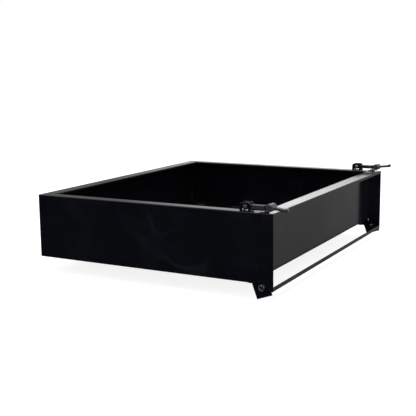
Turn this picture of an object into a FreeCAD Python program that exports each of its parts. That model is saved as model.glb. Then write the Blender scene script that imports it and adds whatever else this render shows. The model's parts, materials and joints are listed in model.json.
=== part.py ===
import FreeCAD, Part
import math
import os

import Sketcher

# A steel cargo box for the back of a golf cart: an open tub of folded sheet on two
# mounting channels, and a bottom-hinged tailgate held shut by two rubber draw latches.
# X runs across the box, Y from the tailgate (-Y) to the front wall (+Y), and Z up.
# The origin is the middle of the four vehicle bolt holes, on the underside that the
# box stands on.

doc = FreeCAD.newDocument("cargo_box")
sheet = doc.addObject("Spreadsheet::Sheet", "dims")

DIMENSIONS = {
    # tub
    "width": 1118.0,
    "tub_length": 874.0,
    "wall_height": 228.6,
    "wall_base": 55.0,
    "gauge": 2.0,
    "bend_radius": 3.0,
    "side_rim": 38.0,
    "front_rim": 45.0,
    "rim_lip": 10.0,
    "floor_rise": 19.0,
    "jamb_width": 15.0,
    "floor_bar_gauge": 3.0,
    # mounting channels under the floor
    "channel_spacing": 600.0,
    "channel_length": 610.0,
    "channel_crown": 60.0,
    "channel_brim": 24.0,
    "channel_gauge": 3.0,
    "mount_pitch": 500.0,
    "mount_hole": 10.5,
    "floor_bolt_pitch": 250.0,
    "floor_bolt_hole": 8.6,
    # tailgate
    "gate_gap": 1.0,
    "gate_depth": 49.5,
    "gate_drop": 21.3,
    "gate_lip": 10.5,
    "gate_heel": 8.0,
    "slot_height": 18.5,
    "rail_height": 15.0,
    "rail_depth": 20.5,
    "rail_gauge": 2.5,
    "rivet_height": 116.0,
    "rivet_inset": 9.0,
    "rivet_radius": 2.4,
    # tailgate hinge
    "pivot_out": 15.0,
    "pivot_drop": 9.0,
    "ear_size": 55.0,
    "ear_tilt": 20.0,
    "ear_centre_out": 14.0,
    "ear_centre_drop": 14.0,
    "ear_gap": 0.5,
    "bracket_gauge": 5.0,
    "foot_end": 50.0,
    "foot_inset": 18.0,
    "foot_bolt_inset": 28.0,
    "foot_bolt_start": 28.0,
    "foot_bolt_pitch": 14.0,
    "foot_root_start": 5.0,
    "foot_root_end": 18.0,
    "stop_lip": 10.0,
    "pivot_radius": 6.0,
    "pivot_clearance": 0.08,
    "bush_radius": 10.0,
    "bush_length": 4.0,
    # latches
    "latch_inset": 16.0,
    "anchor_start": 28.0,
    "anchor_length": 40.0,
    "anchor_height": 29.0,
    "anchor_width": 26.0,
    "anchor_gauge": 3.0,
    "anchor_corner": 11.0,
    "anchor_window": 20.0,
    "anchor_window_height": 5.0,
    "anchor_bolt_inset": 6.0,
    "pin_setback": 48.0,
    "pin_height": 16.0,
    "pin_radius": 4.0,
    "pin_clearance": 0.08,
    "strap_width": 18.0,
    "strap_thickness": 13.0,
    "strap_centre": 15.5,
    "eye_radius": 10.0,
    "head_out": 37.0,
    "head_radius": 12.5,
    "head_width": 40.0,
    "head_height": 17.0,
    "tab_thickness": 10.0,
    "tab_length": 53.0,
    "tip_radius": 6.5,
    "tip_rise": 1.0,
    "keeper_gauge": 3.0,
    "keeper_face_out": 24.0,
    "keeper_setback": 2.0,
    "keeper_height": 26.0,
    "keeper_width": 32.0,
    "keeper_slot": 20.0,
    "keeper_sill": 6.0,
    "keeper_bolt_spread": 9.0,
    "keeper_bolt_out": 12.0,
}

# Fasteners: shank radius, shank length, head width across flats or head radius, head height.
M6_HOLE = 3.3
M5_HOLE = 2.8
PIVOT_HOLE_CLEARANCE = 0.25
FLANGE_HOLE_CLEARANCE = 0.5
PIN_HOLE_CLEARANCE = 0.25
FLOOR_BOLT = (4.0, 20.0, 9.5, 4.5)
FLOOR_NUT = (4.0, 13.0, 6.5)
M6_HEX_BOLT = (3.0, 16.0, 10.0, 3.0)
M6_DOME_BOLT = (3.0, 20.0, 5.5, 3.4)
M6_NUT = (3.0, 10.0, 5.0)
M5_DOME_BOLT = (2.5, 12.0, 4.7, 2.8)
M5_NUT = (2.5, 8.0, 4.0)
HINGE_HEAD = (19.0, 7.5)
HINGE_NUT = (19.0, 6.0)
HINGE_WASHER = (12.0, 1.5)
HINGE_END_PLAY = 0.4
HINGE_THREAD_END = 1.5
PIN_HEAD = (6.0, 2.0)
PIN_CLIP = (6.5, 1.5)
PIN_OVERHANG = 4.0
RIVET_HEAD = (4.3, 1.6)

# How far a cutting shape runs past the material it cuts.
OVERRUN = 1.0

for row, (alias, value) in enumerate(DIMENSIONS.items(), start=1):
    sheet.set("A%d" % row, alias)
    sheet.set("B%d" % row, str(value))
    sheet.setAlias("B%d" % row, alias)
doc.recompute()


class Size:
    """A length that knows both its value and the expression that gives it."""

    def __init__(self, value, text):
        self.value = value
        self.text = text

    def __add__(self, other):
        other = as_size(other)
        return Size(self.value + other.value, "(%s + %s)" % (self.text, other.text))

    def __sub__(self, other):
        other = as_size(other)
        return Size(self.value - other.value, "(%s - %s)" % (self.text, other.text))

    def __mul__(self, other):
        other = as_size(other)
        return Size(self.value * other.value, "(%s * %s)" % (self.text, other.text))

    def __truediv__(self, other):
        other = as_size(other)
        return Size(self.value / other.value, "(%s / %s)" % (self.text, other.text))

    def __neg__(self):
        return self * -1.0

    __radd__ = __add__
    __rmul__ = __mul__

    def __rsub__(self, other):
        return as_size(other) - self


def as_size(number):
    """A plain number as a Size."""
    if isinstance(number, Size):
        return number
    return Size(float(number), "%r" % float(number))


def dim(alias):
    """The spreadsheet's cell of that name."""
    return Size(DIMENSIONS[alias], "dims.%s" % alias)


def bind(thing, property_name, size):
    """Drives one property of an object from the spreadsheet."""
    thing.setExpression(property_name, as_size(size).text)


def place(thing, x=0.0, y=0.0, z=0.0, axis=(0, 0, 1), angle=0.0):
    """Puts an object at a bound position, turned by an angle about an axis."""
    turn = FreeCAD.Rotation(FreeCAD.Vector(*axis), as_size(angle).value)
    here = FreeCAD.Vector(as_size(x).value, as_size(y).value, as_size(z).value)
    thing.Placement = FreeCAD.Placement(here, turn)
    bind(thing, "Placement.Base.x", x)
    bind(thing, "Placement.Base.y", y)
    bind(thing, "Placement.Base.z", z)
    if isinstance(angle, Size):
        bind(thing, "Placement.Rotation.Angle", angle)
    return thing


# ---------------------------------------------------------------- sketch and body helpers

def new_body(label):
    body = doc.addObject("PartDesign::Body", label)
    body.Label = label
    return body


def new_sketch(body, plane, name, offset=0.0):
    """A sketch on one of the body's origin planes, moved along that plane's normal."""
    sketch = body.newObject("Sketcher::SketchObject", name)
    base = next(f for f in body.Origin.OriginFeatures if f.Role == plane)
    sketch.AttachmentSupport = [(base, "")]
    sketch.MapMode = "FlatFace"
    bind(sketch, "AttachmentOffset.Base.z", offset)
    return sketch


def fix_point(sketch, geometry, point, x, y):
    """Ties a sketch point to the sketch's origin by two bound distances."""
    for kind, size in (("DistanceX", as_size(x)), ("DistanceY", as_size(y))):
        index = sketch.addConstraint(Sketcher.Constraint(kind, -1, 1, geometry, point, size.value))
        bind(sketch, "Constraints[%d]" % index, size)


def add_outline(sketch, corners):
    """A closed outline of straight lines through the given corners."""
    values = [FreeCAD.Vector(as_size(x).value, as_size(y).value, 0) for x, y in corners]
    first = sketch.GeometryCount
    count = len(corners)
    for i in range(count):
        sketch.addGeometry(Part.LineSegment(values[i], values[(i + 1) % count]), False)
    for i in range(count):
        following = first + (i + 1) % count
        sketch.addConstraint(Sketcher.Constraint("Coincident", first + i, 2, following, 1))
        fix_point(sketch, first + i, 1, *corners[i])


def add_box_outline(sketch, x0, y0, x1, y1):
    add_outline(sketch, [(x0, y0), (x1, y0), (x1, y1), (x0, y1)])


def add_circle(sketch, x, y, radius):
    centre = FreeCAD.Vector(as_size(x).value, as_size(y).value, 0)
    radius = as_size(radius)
    circle = Part.Circle(centre, FreeCAD.Vector(0, 0, 1), radius.value)
    index = sketch.addGeometry(circle, False)
    fix_point(sketch, index, 3, x, y)
    size = sketch.addConstraint(Sketcher.Constraint("Radius", index, radius.value))
    bind(sketch, "Constraints[%d]" % size, radius)


def pad(body, sketch, length, backwards=False, midplane=False):
    feature = body.newObject("PartDesign::Pad", sketch.Name + "_pad")
    feature.Profile = sketch
    bind(feature, "Length", length)
    feature.Reversed = backwards
    feature.Midplane = midplane
    doc.recompute()
    return feature


def pocket(body, sketch, length=None, backwards=False):
    """Cuts a sketch into the body, right through it when no length is given."""
    before = body.Shape.Volume
    feature = body.newObject("PartDesign::Pocket", sketch.Name + "_pocket")
    feature.Profile = sketch
    if length is None:
        feature.Type = "ThroughAll"
        feature.Midplane = True
    else:
        bind(feature, "Length", length)
    feature.Reversed = backwards
    doc.recompute()
    if body.Shape.Volume >= before - 1e-6:
        raise RuntimeError("%s cuts nothing" % feature.Name)
    return feature


def edges_through(shape, axis, spots):
    """Names of the straight edges along an axis (0, 1 or 2) that pass the given spots.

    Each spot holds the two other coordinates, in X, Y, Z order.
    """
    others = [i for i in range(3) if i != axis]
    names = []
    for number, edge in enumerate(shape.Edges, start=1):
        if not isinstance(edge.Curve, Part.Line):
            continue
        start, end = edge.Vertexes[0].Point, edge.Vertexes[-1].Point
        if abs((end - start)[axis]) < 0.999 * edge.Length:
            continue
        for spot in spots:
            gaps = [abs(start[i] - as_size(value).value) for i, value in zip(others, spot)]
            if max(gaps) < 1e-3:
                names.append("Edge%d" % number)
    return names


def round_bends(body, axis, spots, radius):
    """Rounds the folded edges along an axis."""
    base = body.Tip
    names = edges_through(base.Shape, axis, spots)
    if len(names) < len(spots):
        raise RuntimeError("%s: %d of %d bends found" % (body.Label, len(names), len(spots)))
    feature = body.newObject("PartDesign::Fillet", "%s_bend_%s" % (body.Name, "xyz"[axis]))
    feature.Base = (base, names)
    bind(feature, "Radius", radius)
    doc.recompute()
    return feature


# ---------------------------------------------------------------- primitive helpers

def box(name, length, width, height, **where):
    thing = doc.addObject("Part::Box", name)
    bind(thing, "Length", length)
    bind(thing, "Width", width)
    bind(thing, "Height", height)
    return place(thing, **where)


def side_box(name, side, inner, outer, width, height, **where):
    """A box between two distances from the middle of the cargo box, on one side of it."""
    low_x = side * inner if side > 0 else side * outer
    return box(name, outer - inner, width, height, x=low_x, **where)


def cylinder(name, radius, height, **where):
    thing = doc.addObject("Part::Cylinder", name)
    bind(thing, "Radius", radius)
    bind(thing, "Height", height)
    return place(thing, **where)


def hexagon(name, across_flats, height, **where):
    thing = doc.addObject("Part::Prism", name)
    thing.Polygon = 6
    bind(thing, "Circumradius", across_flats / math.sqrt(3.0))
    bind(thing, "Height", height)
    return place(thing, **where)


def fuse(label, *parts):
    thing = doc.addObject("Part::MultiFuse", label)
    thing.Label = label
    thing.Shapes = list(parts)
    thing.Refine = True
    return thing


def cut(label, base, tool):
    thing = doc.addObject("Part::Cut", label)
    thing.Label = label
    thing.Base = base
    thing.Tool = tool
    return thing


def group(label, parts):
    """Several identical loose pieces that share one node."""
    thing = doc.addObject("Part::Compound", label)
    thing.Label = label
    thing.Links = list(parts)
    return thing


def hex_bolt(name, radius, length, across_flats, head_height):
    """A bolt along +Z: the head's underside is at the origin, and the shank goes up."""
    head = hexagon(name + "_head", across_flats, head_height, z=-1.0 * head_height)
    shank = cylinder(name + "_shank", radius, length)
    return fuse(name, head, shank)


DOME_SHARE = 0.85


def dome_bolt(name, radius, length, head_radius, head_height):
    """A round-headed bolt along -Z: the head stands on the origin, and the shank goes down."""
    disc = cylinder(name + "_disc", head_radius, head_height)
    doc.recompute()
    rounded = doc.addObject("Part::Fillet", name + "_dome")
    rounded.Base = disc
    top_edge = next(
        number
        for number, edge in enumerate(disc.Shape.Edges, start=1)
        if isinstance(edge.Curve, Part.Circle) and edge.CenterOfMass.z > head_height / 2
    )
    crown = DOME_SHARE * head_height
    rounded.Edges = [(top_edge, crown, crown)]
    shank = cylinder(name + "_shank", radius, length, z=-1.0 * length)
    return fuse(name, rounded, shank)


def nut(name, radius, across_flats, height):
    """A nut along +Z from the origin."""
    body = hexagon(name + "_hex", across_flats, height)
    bore = cylinder(name + "_bore", radius, height + OVERRUN * 2, z=-OVERRUN)
    return cut(name, body, bore)


def ring(name, radius, bore_radius, height):
    """A washer or bush along +Z from the origin."""
    body = cylinder(name + "_disc", radius, height)
    bore = cylinder(name + "_bore", bore_radius, height + OVERRUN * 2, z=-OVERRUN)
    return cut(name, body, bore)


# ---------------------------------------------------------------- derived positions

SIDES = {"left": -1.0, "right": 1.0}

half_width = dim("width") / 2
half_length = dim("tub_length") / 2
gauge = dim("gauge")
inner_bend = dim("bend_radius") - gauge
wall_bottom = dim("wall_base")
wall_top = wall_bottom + dim("wall_height")
floor_bottom = wall_bottom + dim("floor_rise")
floor_top = floor_bottom + gauge
seam = -half_length
gate_inner = seam - dim("gate_gap")
gate_outer = gate_inner - dim("gate_depth")
gate_bottom = wall_bottom - dim("gate_drop")
slot_top = wall_bottom + dim("slot_height")
pivot_y = seam - dim("pivot_out")
pivot_z = wall_bottom - dim("pivot_drop")
ear_outer = half_width + dim("ear_gap") + dim("bracket_gauge")
rivet_y = seam - dim("rivet_inset")
rivet_z = wall_bottom + dim("rivet_height")
latch_x = half_width - dim("latch_inset")
parts = []


# ---------------------------------------------------------------- tub

def side_wall(label, side):
    """A folded sheet: wall, rim turned in with a lip, base flange, and rear jamb."""
    body = new_body(label)
    outer = side * half_width

    def inward(distance):
        return side * (half_width - distance)

    profile = new_sketch(body, "XZ_Plane", label + "_profile", half_length)
    rim = dim("side_rim")
    add_outline(profile, [
        (outer, wall_bottom),
        (inward(rim), wall_bottom),
        (inward(rim), wall_bottom + gauge),
        (inward(gauge), wall_bottom + gauge),
        (inward(gauge), wall_top - gauge),
        (inward(rim - gauge), wall_top - gauge),
        (inward(rim - gauge), wall_top - dim("rim_lip")),
        (inward(rim), wall_top - dim("rim_lip")),
        (inward(rim), wall_top),
        (outer, wall_top),
    ])
    pad(body, profile, dim("tub_length"), backwards=True)
    jamb = new_sketch(body, "XZ_Plane", label + "_jamb", half_length)
    add_box_outline(jamb, inward(gauge / 2), floor_top, inward(dim("jamb_width")), wall_top - gauge / 2)
    pad(body, jamb, gauge, backwards=True)

    round_bends(body, 1, [
        (outer, wall_bottom),
        (outer, wall_top),
        (inward(rim), wall_top),
    ], dim("bend_radius"))
    round_bends(body, 1, [
        (inward(gauge), wall_bottom + gauge),
        (inward(rim - gauge), wall_top - gauge),
    ], inner_bend)

    front = half_length
    mitre = new_sketch(body, "XY_Plane", label + "_mitre")
    add_outline(mitre, [
        (inward(gauge), front + OVERRUN),
        (inward(gauge), front - gauge),
        (inward(rim), front - dim("front_rim")),
        (inward(rim + OVERRUN), front - dim("front_rim")),
        (inward(rim + OVERRUN), front + OVERRUN),
    ])
    pocket(body, mitre)

    bolt_holes = new_sketch(body, "XY_Plane", label + "_anchor_holes", wall_top)
    for y in anchor_bolt_places():
        add_circle(bolt_holes, side * latch_x, y, M6_HOLE)
    pocket(body, bolt_holes, gauge)
    foot_holes = new_sketch(body, "XY_Plane", label + "_foot_holes", wall_bottom + gauge)
    for x, y in bracket_bolt_places(side):
        add_circle(foot_holes, x, y, M6_HOLE)
    pocket(body, foot_holes, gauge)
    return body


def front_wall(label):
    """A folded sheet between the side walls, with a rim and a base flange turned in."""
    body = new_body(label)
    profile = new_sketch(body, "YZ_Plane", label + "_profile")
    outer = half_length
    rim = dim("front_rim")
    add_outline(profile, [
        (outer, wall_bottom),
        (outer, wall_top),
        (outer - rim, wall_top),
        (outer - rim, wall_top - dim("rim_lip")),
        (outer - rim + gauge, wall_top - dim("rim_lip")),
        (outer - rim + gauge, wall_top - gauge),
        (outer - gauge, wall_top - gauge),
        (outer - gauge, wall_bottom + gauge),
        (outer - rim, wall_bottom + gauge),
        (outer - rim, wall_bottom),
    ])
    pad(body, profile, dim("width") - gauge * 2, midplane=True)
    round_bends(body, 0, [
        (outer, wall_bottom),
        (outer, wall_top),
        (outer - rim, wall_top),
    ], dim("bend_radius"))
    round_bends(body, 0, [
        (outer - gauge, wall_bottom + gauge),
        (outer - gauge, wall_top - gauge),
        (outer - rim + gauge, wall_top - gauge),
    ], inner_bend)
    mitre = new_sketch(body, "XY_Plane", label + "_mitre")
    for side in SIDES.values():
        add_outline(mitre, [
            (side * (half_width - gauge + OVERRUN), outer - gauge),
            (side * (half_width - gauge), outer - gauge),
            (side * (half_width - dim("side_rim")), outer - rim),
            (side * (half_width - dim("side_rim")), outer - rim - OVERRUN),
            (side * (half_width - gauge + OVERRUN), outer - rim - OVERRUN),
        ])
    pocket(body, mitre)
    return body


def floor_panel(label):
    """The flat floor sheet, raised above the wall bottoms."""
    body = new_body(label)
    right = half_width - gauge
    plate = new_sketch(body, "XY_Plane", label + "_plate", floor_bottom)
    add_box_outline(plate, -right, seam, right, half_length - gauge)
    pad(body, plate, gauge)
    holes = new_sketch(body, "XY_Plane", label + "_holes", floor_top)
    for x, y in floor_bolt_places():
        add_circle(holes, x, y, dim("floor_bolt_hole") / 2)
    pocket(body, holes, gauge)
    return body


def floor_bars():
    """Flat bars on edge, standing on the walls' base flanges, that carry the floor."""
    thick = dim("floor_bar_gauge")
    foot = wall_bottom + gauge
    tall = floor_bottom - foot
    outer = half_width - gauge - inner_bend
    front = half_length - gauge - inner_bend
    bars = [
        side_box("floor_bar_" + name, side, outer - thick, outer, front - seam, tall, y=seam, z=foot)
        for name, side in SIDES.items()
    ]
    reach = outer - thick
    bars.append(box("floor_bar_front", reach * 2, thick, tall, x=-reach, y=front - thick, z=foot))
    return bars


def mounting_channel(label, side):
    """A hat-section channel bolted under the floor, with vehicle bolt holes in its crown."""
    body = new_body(label)
    middle = side * dim("channel_spacing") / 2
    half_crown = dim("channel_crown") / 2
    edge = half_crown + dim("channel_brim")
    thick = dim("channel_gauge")
    top = floor_bottom
    start = dim("channel_length") / 2
    profile = new_sketch(body, "XZ_Plane", label + "_profile", start)
    add_outline(profile, [
        (middle - half_crown, 0.0),
        (middle + half_crown, 0.0),
        (middle + half_crown, top - thick),
        (middle + edge, top - thick),
        (middle + edge, top),
        (middle + half_crown - thick, top),
        (middle + half_crown - thick, thick),
        (middle - half_crown + thick, thick),
        (middle - half_crown + thick, top),
        (middle - edge, top),
        (middle - edge, top - thick),
        (middle - half_crown, top - thick),
    ])
    pad(body, profile, dim("channel_length"), backwards=True)
    round_bends(body, 1, [
        (middle - half_crown, 0.0),
        (middle + half_crown, 0.0),
        (middle - half_crown + thick, top),
        (middle + half_crown - thick, top),
    ], thick * 1.5)
    round_bends(body, 1, [
        (middle - half_crown + thick, thick),
        (middle + half_crown - thick, thick),
        (middle - half_crown, top - thick),
        (middle + half_crown, top - thick),
    ], thick * 0.5)
    crown_holes = new_sketch(body, "XY_Plane", label + "_crown_holes", thick)
    for end in (-0.5, 0.5):
        add_circle(crown_holes, middle, end * dim("mount_pitch"), dim("mount_hole") / 2)
    pocket(body, crown_holes, thick)
    brim_holes = new_sketch(body, "XY_Plane", label + "_brim_holes", top)
    for x, y in floor_bolt_places([side]):
        add_circle(brim_holes, x, y, dim("floor_bolt_hole") / 2)
    pocket(body, brim_holes, thick)
    return body


def floor_bolt_places(sides=(-1.0, 1.0)):
    """Three bolts along each brim of each channel."""
    places = []
    reach = (dim("channel_crown") + dim("channel_brim")) / 2
    for side in sides:
        for brim in (-1.0, 1.0):
            for step in (-1.0, 0.0, 1.0):
                x = side * dim("channel_spacing") / 2 + brim * reach
                places.append((x, step * dim("floor_bolt_pitch")))
    return places


def floor_fasteners():
    """Carriage bolts through floor and channels, and their nuts below."""
    bolts = []
    nuts = []
    for number, (x, y) in enumerate(floor_bolt_places(), start=1):
        bolts.append(place(dome_bolt("floor_bolt_%d" % number, *FLOOR_BOLT), x, y, floor_top))
        below = floor_bottom - dim("channel_gauge") - FLOOR_NUT[2]
        nuts.append(place(nut("floor_nut_%d" % number, *FLOOR_NUT), x, y, below))
    return group("floor_bolts", bolts), group("floor_nuts", nuts)


# ---------------------------------------------------------------- tailgate

def tailgate_pan(label):
    """A shallow folded pan, open outwards, with a slot between its panel and bottom rail."""
    body = new_body(label)
    block = new_sketch(body, "XZ_Plane", label + "_block", -gate_inner)
    add_box_outline(block, -half_width, gate_bottom, half_width, wall_top)
    pad(body, block, dim("gate_depth"))
    round_bends(body, 2, [(-half_width, gate_inner), (half_width, gate_inner)], dim("bend_radius"))
    round_bends(body, 0, [(gate_inner, wall_top), (gate_outer, wall_top)], dim("bend_radius"))

    inside = half_width - gauge
    hollow = new_sketch(body, "XZ_Plane", label + "_hollow", -gate_outer)
    add_box_outline(hollow, -inside, gate_bottom - OVERRUN, inside, wall_top - gauge)
    pocket(body, hollow, dim("gate_depth") - gauge)
    slot = new_sketch(body, "XZ_Plane", label + "_slot", -gate_outer)
    add_box_outline(slot, -inside, gate_bottom - OVERRUN, inside, slot_top)
    pocket(body, slot)

    lip = new_sketch(body, "XZ_Plane", label + "_lip", -gate_outer)
    add_box_outline(lip, -inside, wall_top - dim("gate_lip"), inside, wall_top - dim("bend_radius"))
    pad(body, lip, gauge, backwards=True)

    heel = new_sketch(body, "YZ_Plane", label + "_heel")
    add_outline(heel, [
        (gate_inner - dim("gate_heel"), gate_bottom),
        (gate_inner + OVERRUN, gate_bottom - OVERRUN),
        (gate_inner, gate_bottom + dim("gate_heel")),
    ])
    pocket(body, heel)
    side_holes = new_sketch(body, "YZ_Plane", label + "_side_holes")
    add_circle(side_holes, pivot_y, pivot_z, dim("pivot_radius") + FLANGE_HOLE_CLEARANCE)
    add_circle(side_holes, rivet_y, rivet_z, dim("rivet_radius"))
    pocket(body, side_holes)
    keeper_holes = new_sketch(body, "XY_Plane", label + "_keeper_holes", wall_top)
    for side in SIDES.values():
        for x, y in keeper_bolt_places(side):
            add_circle(keeper_holes, x, y, M5_HOLE)
    pocket(body, keeper_holes, gauge)
    return body


def flange_rivets():
    """A blind rivet in each side flange: a low head inside, and a shank flush with the outside."""
    rivets = []
    for name, side in SIDES.items():
        head_radius, head_height = RIVET_HEAD
        rivet = dome_bolt("flange_rivet_" + name, dim("rivet_radius"), gauge, head_radius, head_height)
        rivets.append(place(rivet, side * (half_width - gauge), rivet_y, rivet_z,
                            axis=(0, 1, 0), angle=-90.0 * side))
    return group("flange_rivets", rivets)


def bottom_rail(label):
    """An angle that ties the pan's side flanges together along the bottom."""
    body = new_body(label)
    profile = new_sketch(body, "YZ_Plane", label + "_profile")
    thick = dim("rail_gauge")
    back = gate_outer + dim("rail_depth")
    add_outline(profile, [
        (gate_outer, gate_bottom),
        (back, gate_bottom),
        (back, gate_bottom + thick),
        (gate_outer + thick, gate_bottom + thick),
        (gate_outer + thick, gate_bottom + dim("rail_height")),
        (gate_outer, gate_bottom + dim("rail_height")),
    ])
    pad(body, profile, dim("width") - gauge * 2, midplane=True)
    round_bends(body, 0, [(gate_outer, gate_bottom)], dim("bend_radius"))
    return body


# ---------------------------------------------------------------- tailgate hinge

def hinge_bracket(label, side):
    """A bent plate: a square outer ear, a lip that stops the open gate, and a foot.

    The ear and the lip are tilted about X; the foot is level, under the wall's flange,
    and joins the ear by a short root.
    """
    thick = dim("bracket_gauge")
    size = dim("ear_size")
    tilt = dim("ear_tilt")
    along = math.radians(tilt.value)
    ear_inner = half_width + dim("ear_gap")
    flange_edge = half_width - dim("side_rim")

    def corner(u, v):
        """The frame position of a point given along the ear's own tilted edges."""
        y = seam - dim("ear_centre_out") + u * math.cos(along) + v * math.sin(along)
        z = wall_bottom - dim("ear_centre_drop") - u * math.sin(along) + v * math.cos(along)
        return {"y": y, "z": z, "axis": (-1, 0, 0), "angle": tilt}

    def under_flange(name, outer, first, last):
        """A level piece right under the wall's base flange."""
        return side_box(label + name, side, flange_edge, outer, dim(last) - dim(first), thick,
                        y=seam + dim(first), z=wall_bottom - thick)

    ear = side_box(label + "_ear", side, ear_inner, ear_outer, size, size,
                   **corner(-size / 2, -size / 2))
    lip = side_box(label + "_lip", side, half_width - dim("stop_lip"), ear_outer, thick, size,
                   **corner(size / 2 - thick, -size / 2))
    foot = under_flange("_foot", half_width - dim("foot_inset"), "foot_root_start", "foot_end")
    root = under_flange("_root", ear_outer, "foot_root_start", "foot_root_end")
    above_flange = side_box(
        label + "_above_flange",
        side,
        flange_edge - OVERRUN,
        ear_inner,
        size * 2,
        size,
        y=seam - size,
        z=wall_bottom,
    )
    tucked_under = cut(label + "_tucked_under", fuse(label + "_inner", lip, foot, root), above_flange)
    plate = fuse(label + "_plate", ear, tucked_under)
    holes = [
        cylinder(label + "_pivot_hole", dim("pivot_radius") + PIVOT_HOLE_CLEARANCE, thick + OVERRUN * 2,
                 x=side * (ear_inner + thick / 2) - (thick / 2 + OVERRUN),
                 y=pivot_y, z=pivot_z, axis=(0, 1, 0), angle=90.0)
    ]
    for number, (x, y) in enumerate(bracket_bolt_places(side), start=1):
        holes.append(cylinder("%s_foot_hole_%d" % (label, number), M6_HOLE, thick + OVERRUN * 2,
                              x=x, y=y, z=wall_bottom - thick - OVERRUN))
    return cut(label, plate, fuse(label + "_holes", *holes))


def bracket_bolt_places(side):
    """The two bolts along each bracket's foot."""
    first = seam + dim("foot_bolt_start")
    x = side * (half_width - dim("foot_bolt_inset"))
    return [(x, first), (x, first + dim("foot_bolt_pitch"))]


def bracket_fasteners():
    bolts = []
    nuts = []
    for name, side in SIDES.items():
        for number, (x, y) in enumerate(bracket_bolt_places(side), start=1):
            tag = "%s_%d" % (name, number)
            bolt = hex_bolt("bracket_bolt_" + tag, *M6_HEX_BOLT)
            bolts.append(place(bolt, x, y, wall_bottom - dim("bracket_gauge")))
            above = nut("bracket_nut_" + tag, *M6_NUT)
            nuts.append(place(above, x, y, wall_bottom + gauge))
    return group("bracket_bolts", bolts), group("bracket_nuts", nuts)


def across(thing, side, distance):
    """Lays a piece made along +Z onto the pivot axis, pointing inwards from a distance."""
    return place(thing, side * distance, pivot_y, pivot_z, axis=(0, 1, 0), angle=-90.0 * side)


bush_outer = half_width - gauge
bush_end = bush_outer - dim("bush_length")
nut_outer = bush_end - HINGE_END_PLAY - HINGE_WASHER[1]
hinge_bolt_length = ear_outer - nut_outer + HINGE_NUT[1] + HINGE_THREAD_END


def hinge_pieces(name, side):
    """The pivot bolt, and the bush in the tailgate's side flange."""
    bolt = hex_bolt("hinge_bolt_" + name, dim("pivot_radius"), hinge_bolt_length, *HINGE_HEAD)
    bore = dim("pivot_radius") + dim("pivot_clearance")
    bush = ring("hinge_bush_" + name, dim("bush_radius"), bore, dim("bush_length"))
    return across(bolt, side, ear_outer), across(bush, side, bush_outer)


def hinge_locks():
    """The washer and nut on each pivot bolt's inner end."""
    washers = []
    nuts = []
    for name, side in SIDES.items():
        radius, height = HINGE_WASHER
        washer = ring("hinge_washer_" + name, radius, dim("pivot_radius") + PIVOT_HOLE_CLEARANCE, height)
        washers.append(across(washer, side, bush_end - HINGE_END_PLAY))
        lock = nut("hinge_nut_" + name, dim("pivot_radius"), *HINGE_NUT)
        nuts.append(across(lock, side, nut_outer))
    return group("hinge_washers", washers), group("hinge_nuts", nuts)


# ---------------------------------------------------------------- latches

def anchor_bolt_places():
    near = seam + dim("anchor_start") + dim("anchor_bolt_inset")
    far = seam + dim("anchor_start") + dim("anchor_length") - dim("anchor_bolt_inset")
    return near, far


def latch_anchor(label, side):
    """A channel bracket on the rim: a base and two round-shouldered cheeks with a window."""
    body = new_body(label)
    start = seam + dim("anchor_start")
    end = start + dim("anchor_length")
    base = wall_top
    top = wall_top + dim("anchor_height")
    middle = side * latch_x
    half = dim("anchor_width") / 2
    thick = dim("anchor_gauge")
    outline = new_sketch(body, "YZ_Plane", label + "_outline", middle - half)
    add_box_outline(outline, start, base, end, top)
    pad(body, outline, dim("anchor_width"))
    round_bends(body, 0, [(start, top), (end, top)], dim("anchor_corner"))
    gap = new_sketch(body, "XZ_Plane", label + "_gap", half_length)
    add_box_outline(gap, middle - half + thick, base + thick, middle + half - thick, top + OVERRUN)
    pocket(body, gap)
    windows = new_sketch(body, "YZ_Plane", label + "_windows")
    centre = seam + dim("pin_setback")
    reach = dim("anchor_window") / 2
    sill = base + thick
    add_box_outline(windows, centre - reach, sill, centre + reach, sill + dim("anchor_window_height"))
    add_circle(windows, centre, base + dim("pin_height"), dim("pin_radius") + PIN_HOLE_CLEARANCE)
    pocket(body, windows)
    holes = new_sketch(body, "XY_Plane", label + "_holes", base + thick)
    for y in anchor_bolt_places():
        add_circle(holes, middle, y, M6_HOLE)
    pocket(body, holes, thick)
    return body


def latch_pins():
    """The pins through the anchors, each with a head outside and a push-on clip inside."""
    pins = []
    clips = []
    y = seam + dim("pin_setback")
    z = wall_top + dim("pin_height")
    half = dim("anchor_width") / 2
    for name, side in SIDES.items():
        head_radius, head_height = PIN_HEAD
        head = cylinder("pin_head_" + name, head_radius, head_height, z=-head_height)
        shank = cylinder("pin_shank_" + name, dim("pin_radius"), dim("anchor_width") + PIN_OVERHANG)
        turn = {"axis": (0, 1, 0), "angle": -90.0 * side}
        pins.append(place(fuse("pin_" + name, head, shank), side * (latch_x + half), y, z, **turn))
        clip_radius, clip_height = PIN_CLIP
        clip = ring("clip_" + name, clip_radius, dim("pin_radius"), clip_height)
        clips.append(place(clip, side * (latch_x - half), y, z, **turn))
    return group("latch_pins", pins), group("latch_pin_clips", clips)


def anchor_fasteners():
    bolts = []
    nuts = []
    for name, side in SIDES.items():
        for number, y in enumerate(anchor_bolt_places(), start=1):
            tag = "%s_%d" % (name, number)
            bolt = dome_bolt("anchor_bolt_" + tag, *M6_DOME_BOLT)
            bolts.append(place(bolt, side * latch_x, y, wall_top + dim("anchor_gauge")))
            below = nut("anchor_nut_" + tag, *M6_NUT)
            nuts.append(place(below, side * latch_x, y, wall_top - gauge - M6_NUT[2]))
    return group("anchor_bolts", bolts), group("anchor_nuts", nuts)


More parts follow.
